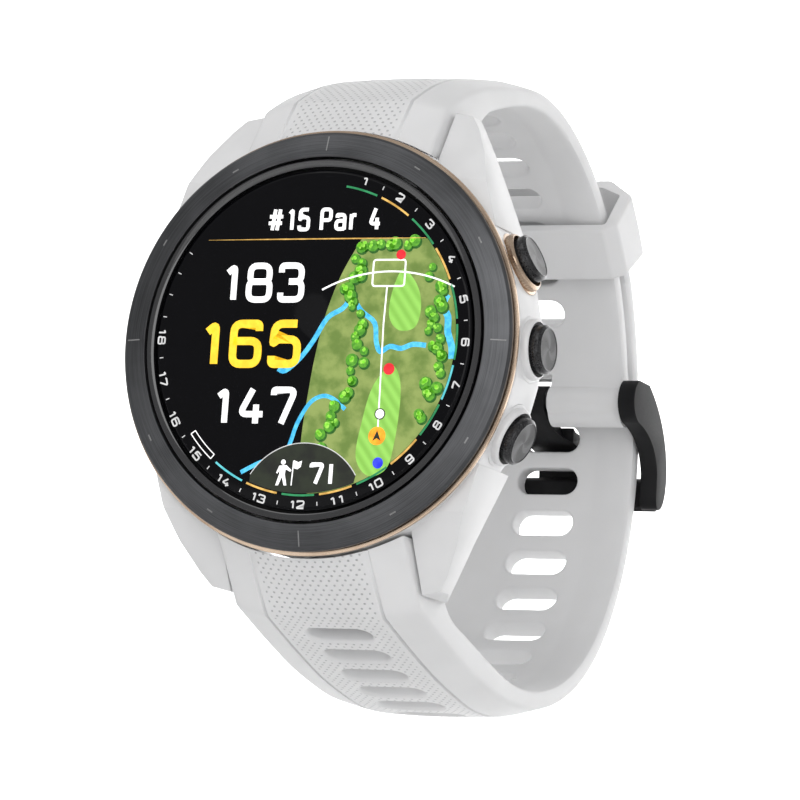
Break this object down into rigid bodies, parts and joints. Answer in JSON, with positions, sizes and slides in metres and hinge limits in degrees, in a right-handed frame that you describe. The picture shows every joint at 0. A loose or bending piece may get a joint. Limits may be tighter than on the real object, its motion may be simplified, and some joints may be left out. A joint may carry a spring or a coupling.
{
  "type": "golf gps watch",
  "caption": "Round white sports watch for golf with a dark bezel, side buttons, a touch display and a slotted silicone band closed by a pin buckle.",
  "frame": {"origin": "centre of the sensor window's outer face, where the watch rests on the wrist", "axes": "+X towards 3 o'clock and the buttons, +Z towards 12 o'clock, +Y out of the case back towards the wrist, so the display faces -Y"},
  "size_m": [0.0439, 0.0682, 0.0652],
  "materials": {
    "silicone": "soft matt white silicone",
    "case_polymer": "satin white fibre-filled polymer",
    "bezel_ceramic": "dark grey ceramic, brushed round the ring",
    "gloss_black": "polished black",
    "rose_trim": "satin rose gold",
    "lens_glass": "polished glass",
    "display": "lit display",
    "inner_plastic": "matt black moulded",
    "buckle_black": "semi-gloss black coating",
    "button_black": "black, turned and swirl-brushed faces",
    "seal_rubber": "black rubber",
    "gold_contact": "gold plated",
    "circuit_board": "green solder mask",
    "foil": "satin",
    "steel": "satin stainless"
  },
  "bodies": {
    "watch_case": {"case_body": "case_polymer", "bezel": "bezel_ceramic", "bezel_chamfer_ring": "gloss_black", "bezel_trim_ring": "rose_trim", "lens": "lens_glass", "lens_gasket": "seal_rubber", "display_panel": "display", "mid_frame": "inner_plastic", "display_flex": "gold_contact", "gps_antenna": "foil", "main_board": "circuit_board", "board_shield": "foil", "battery": "inner_plastic", "vibration_motor": "steel", "sensor_board": "circuit_board", "sensor_emitter": "lens_glass", "sensor_upper_detector": "lens_glass", "sensor_lower_detector": "lens_glass", "back_cover": "inner_plastic", "back_cover_gasket": "seal_rubber", "back_cover_screw_1": "steel", "back_cover_screw_2": "steel", "back_cover_screw_3": "steel", "back_cover_screw_4": "steel", "sensor_window": "gloss_black", "charging_port": "inner_plastic", "charging_contact_1": "gold_contact", "charging_contact_2": "gold_contact", "charging_contact_3": "gold_contact", "charging_contact_4": "gold_contact", "top_button_collar": "rose_trim", "top_button_spring": "steel", "top_button_seal": "seal_rubber", "top_button_switch": "steel", "middle_button_collar": "case_polymer", "middle_button_spring": "steel", "middle_button_seal": "seal_rubber", "middle_button_switch": "steel", "bottom_button_collar": "case_polymer", "bottom_button_spring": "steel", "bottom_button_seal": "seal_rubber", "bottom_button_switch": "steel", "upper_lug_pin": "steel", "lower_lug_pin": "steel"},
    "top_button": {"top_button_cap": "button_black", "top_button_clip": "steel"},
    "middle_button": {"middle_button_cap": "button_black", "middle_button_clip": "steel"},
    "bottom_button": {"bottom_button_cap": "button_black", "bottom_button_clip": "steel"},
    "band": {"short_strap": "silicone", "long_strap": "silicone", "upper_hook": "steel", "lower_hook": "steel", "buckle_bar": "steel"},
    "upper_release": {"upper_latch": "steel"},
    "lower_release": {"lower_latch": "steel"},
    "keeper_loop": {"keeper": "silicone"},
    "buckle": {"buckle_frame": "buckle_black"},
    "tongue": {"buckle_tongue": "buckle_black"}
  },
  "joints": [
    {"name": "top_button_press", "type": "slide", "parent": "watch_case", "child": "top_button", "axis": [-0.9135, 0, -0.4067], "range_m": [0, 0.0005], "stiffness_N_per_m": 2000, "springref_m": -0.0005},
    {"name": "middle_button_press", "type": "slide", "parent": "watch_case", "child": "middle_button", "axis": [-1, 0, 0], "range_m": [0, 0.0005], "stiffness_N_per_m": 2000, "springref_m": -0.0005},
    {"name": "bottom_button_press", "type": "slide", "parent": "watch_case", "child": "bottom_button", "axis": [-0.9135, 0, 0.4067], "range_m": [0, 0.0005], "stiffness_N_per_m": 2000, "springref_m": -0.0005},
    {"name": "band_lift_off", "type": "slide", "parent": "watch_case", "child": "band", "axis": [0, -1, 0], "range_m": [0, 0.012]},
    {"name": "upper_latch_slide", "type": "slide", "parent": "band", "child": "upper_release", "axis": [0, 0, 1], "range_m": [0, 0.0008], "stiffness_N_per_m": 300, "springref_m": -0.001},
    {"name": "lower_latch_slide", "type": "slide", "parent": "band", "child": "lower_release", "axis": [0, 0, -1], "range_m": [0, 0.0008], "stiffness_N_per_m": 300, "springref_m": -0.001},
    {"name": "keeper_slide", "type": "hinge", "parent": "band", "child": "keeper_loop", "pos_m": [0, 0.01709, -0.00055], "axis": [1, 0, 0], "range_deg": [-4, 4]},
    {"name": "buckle_hinge", "type": "hinge", "parent": "band", "child": "buckle", "pos_m": [0, 0.0471, 0.0035], "axis": [1, 0, 0], "range_deg": [0, 1.5]},
    {"name": "tongue_hinge", "type": "hinge", "parent": "buckle", "child": "tongue", "pos_m": [0, 0.0471, 0.0035], "axis": [1, 0, 0], "range_deg": [0, 1]}
  ]
}
